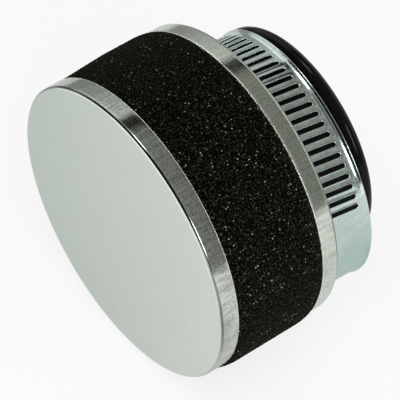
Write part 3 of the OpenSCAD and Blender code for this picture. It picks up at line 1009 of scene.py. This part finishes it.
# %% Light of the dome
warm, plain = (1.0, 1.0, 0.92), (0.98, 1.0, 0.97)
wall_stops = [
    (0, 0.225, warm), (0.3, 0.225, warm), (0.62, 0.25, warm), (0.65, 0.01, warm), (0.7, 0.01, warm),
    (0.715, 0.68, plain), (0.85, 0.52, plain), (1, 0.34, plain),
]
panel_stops = [
    (0, 0.02), (0.07, 0.02), (0.1, 1), (0.2, 1), (0.23, 0.02),
    (0.52, 0.02), (0.55, 1), (0.59, 1), (0.62, 0.1), (1, 0.1),
]
near_wall_gain, panel_level = 1.3, 8.0
print(len(wall_stops), "stops for the walls and", len(panel_stops), "for the panels")


def fill_ramp(ramp, stops):
    """Sets a colour ramp's stops: place, level and, where given, a tint."""
    elements = ramp.color_ramp.elements
    for index, (at, level, *tint) in enumerate(stops):
        stop = elements[index] if index < 2 else elements.new(at)
        stop.position = at
        stop.color = colour(*(level * np.array(tint[0] if tint else (1, 1, 1))))


def dome_finish():
    """Light by direction: turn is 0 level on the right and 1 level on the left, fore is the way's Y."""
    made, nodes = material("studio_dome")
    place = nodes.add("ShaderNodeVectorMath", operation="NORMALIZE")
    nodes.put(place.inputs[0], nodes.place())
    parts = nodes.add("ShaderNodeSeparateXYZ", Vector=place.outputs[0])
    angle = nodes.math("ARCTAN2", parts.outputs["Z"], parts.outputs["X"])
    turn = nodes.math("DIVIDE", angle, math.pi)
    fore = parts.outputs["Y"]
    walls = nodes.add("ShaderNodeValToRGB", Fac=turn)
    fill_ramp(walls, wall_stops)
    near = nodes.math("MULTIPLY", near_wall_gain, nodes.spread(fore, 0.27, 0.37, 1, 0))
    light = nodes.glow(walls.outputs[0], nodes.math("ADD", 1.0, near))
    right = nodes.math("MULTIPLY", nodes.spread(turn, 0, 0.04), nodes.spread(turn, 0.45, 0.52, 1, 0))
    dark_arc = nodes.math("MULTIPLY", near_value(nodes, fore, 0.14, 0.06, 0.1), right)
    light = nodes.mix(dark_arc, light, colour(0.03, 0.03, 0.03))
    panels = nodes.add("ShaderNodeValToRGB", Fac=turn)
    fill_ramp(panels, panel_stops)
    start, end = nodes.spread(fore, -0.28, -0.22), nodes.spread(fore, 0.02, 0.08, 1, 0)
    overhead = nodes.math("MULTIPLY", start, end)
    light = nodes.mix(overhead, light, nodes.glow(panels.outputs[0], panel_level))
    far_end = nodes.spread(fore, 0.7, 0.8)
    light = nodes.mix(far_end, light, colour(1.6, 1.6, 1.6))
    near_end = nodes.spread(fore, -0.38, -0.3, 1, 0)
    light = nodes.mix(near_end, light, colour(0.01, 0.01, 0.01))
    nodes.show(nodes.add("ShaderNodeEmission", Color=light, Strength=1.0))
    return made


def mirror_only(piece):
    """Leaves a piece of the studio to mirror rays alone."""
    for flag in ("camera", "diffuse", "transmission", "volume_scatter", "shadow"):
        setattr(piece, "visible_" + flag, False)


# %% Studio dome
# A point is the radius times (cos turn cos rise, sin turn cos rise, sin rise).
dome_r, dome_dip = 2.5, 0.02
dome_cols, dome_rows = 64, 24
dome_turn = np.linspace(0, 2 * np.pi, dome_cols)[:, None]
dome_rise = np.linspace(-dome_dip, np.pi / 2, dome_rows)[None, :]
dome_points = dome_r * np.stack([
    np.cos(dome_turn) * np.cos(dome_rise), np.sin(dome_turn) * np.cos(dome_rise),
    np.sin(dome_rise) + 0 * dome_turn,
], -1)
dome = stage_piece("studio_dome", dome_points, grid_quads(dome_cols, dome_rows), dome_finish())
mirror_only(dome)
print("dome of radius", dome_r)

# %% [markdown]
# Three cards stand and lie round the filter, as a photographer would place
# them. The upright one in front gives clear light to what mirrors forward, the
# dim one on the left hides the bright floor, and the one that lies in front
# draws a thin pale line where the front cap's face begins to bend. They could
# be painted into the dome too, but close to the piece a card's edge moves over
# the metal as a real one's does. Like the dome they show only in mirror rays.


# %% Cards
def upright(start, end, top):
    """Corners of a card that stands on the floor from start to end, both (x, y), up to its top."""
    return [(*start, floor_z), (*end, floor_z), (*end, top), (*start, top)]


def lying(low, high):
    """Corners of a card that lies just above the floor, from low to high, which are (x, y)."""
    z = floor_z + 1 * MM
    return [(*low, z), (high[0], low[1], z), (*high, z), (low[0], high[1], z)]


def studio_card(name, corners, level):
    """Glowing card with four corners, seen by mirror rays alone."""
    made, nodes = material(name)
    nodes.show(nodes.add("ShaderNodeEmission", Color=colour(1, 1, 1), Strength=level))
    mirror_only(stage_piece(name, corners, [[0, 1, 2, 3]], made))
    print(name, "glows at", level)


studio_card("front_card", upright((-0.3, -0.45), (0.5, -0.45), 0.07), 2.2)
studio_card("left_card", upright((-0.3, -0.25), (-0.3, 0.6), 0.05), 0.33)
studio_card("floor_card", lying((-0.3, -0.44), (0.3, -0.12)), 1.3)

# %% [markdown]
# Two large soft lamps and a pale world light the piece evenly, at a level at
# which a colour comes out about as it is written. Small lamps would cast hard
# shadows. The lamps themselves don't show in the metal, because the dome and
# the cards give its reflections.


# %% Light
def soft_lamp(name, location, size, power):
    """Square area lamp that points at the filter and isn't mirrored in it."""
    data = bpy.data.lights.new(name, "AREA")
    data.size = size
    data.energy = power
    lamp = bpy.data.objects.new(name, data)
    lamp.location = location
    middle = (cad_box[0] + cad_box[1]) / 2
    lamp.rotation_euler = (middle - lamp.location).to_track_quat("-Z", "Y").to_euler()
    lamp.visible_camera = False
    lamp.visible_glossy = False
    bpy.context.scene.collection.objects.link(lamp)
    print(name, "of", power, "W")


soft_lamp("key_lamp", Vector((0.5, -0.5, 1.2)), size=0.9, power=8)
soft_lamp("side_lamp", Vector((1.15, -0.45, 0.1)), size=0.7, power=14)

# %% World
sky_level = 0.55
world = bpy.data.worlds.new("studio")
bpy.context.scene.world = world
sky = Nodes(world)
more_where_seen = sky.math("MULTIPLY", seen_rays(sky), 1 - sky_level)
sky_light = sky.math("ADD", more_where_seen, sky_level)
background = sky.add("ShaderNodeBackground", Color=colour(1, 1, 1), Strength=sky_light)
sky.show(background, "ShaderNodeOutputWorld")
bpy.context.scene.view_settings.view_transform = "Standard"
print("world lights at", sky_level, "and looks white")

# %% [markdown]
# The packed box is written down, so that the finished model can be held against
# the imported one: only the foam may stand a little proud of it.

# %% Sizes, and the end
print("packed box", [list(c) for c in cad_box])
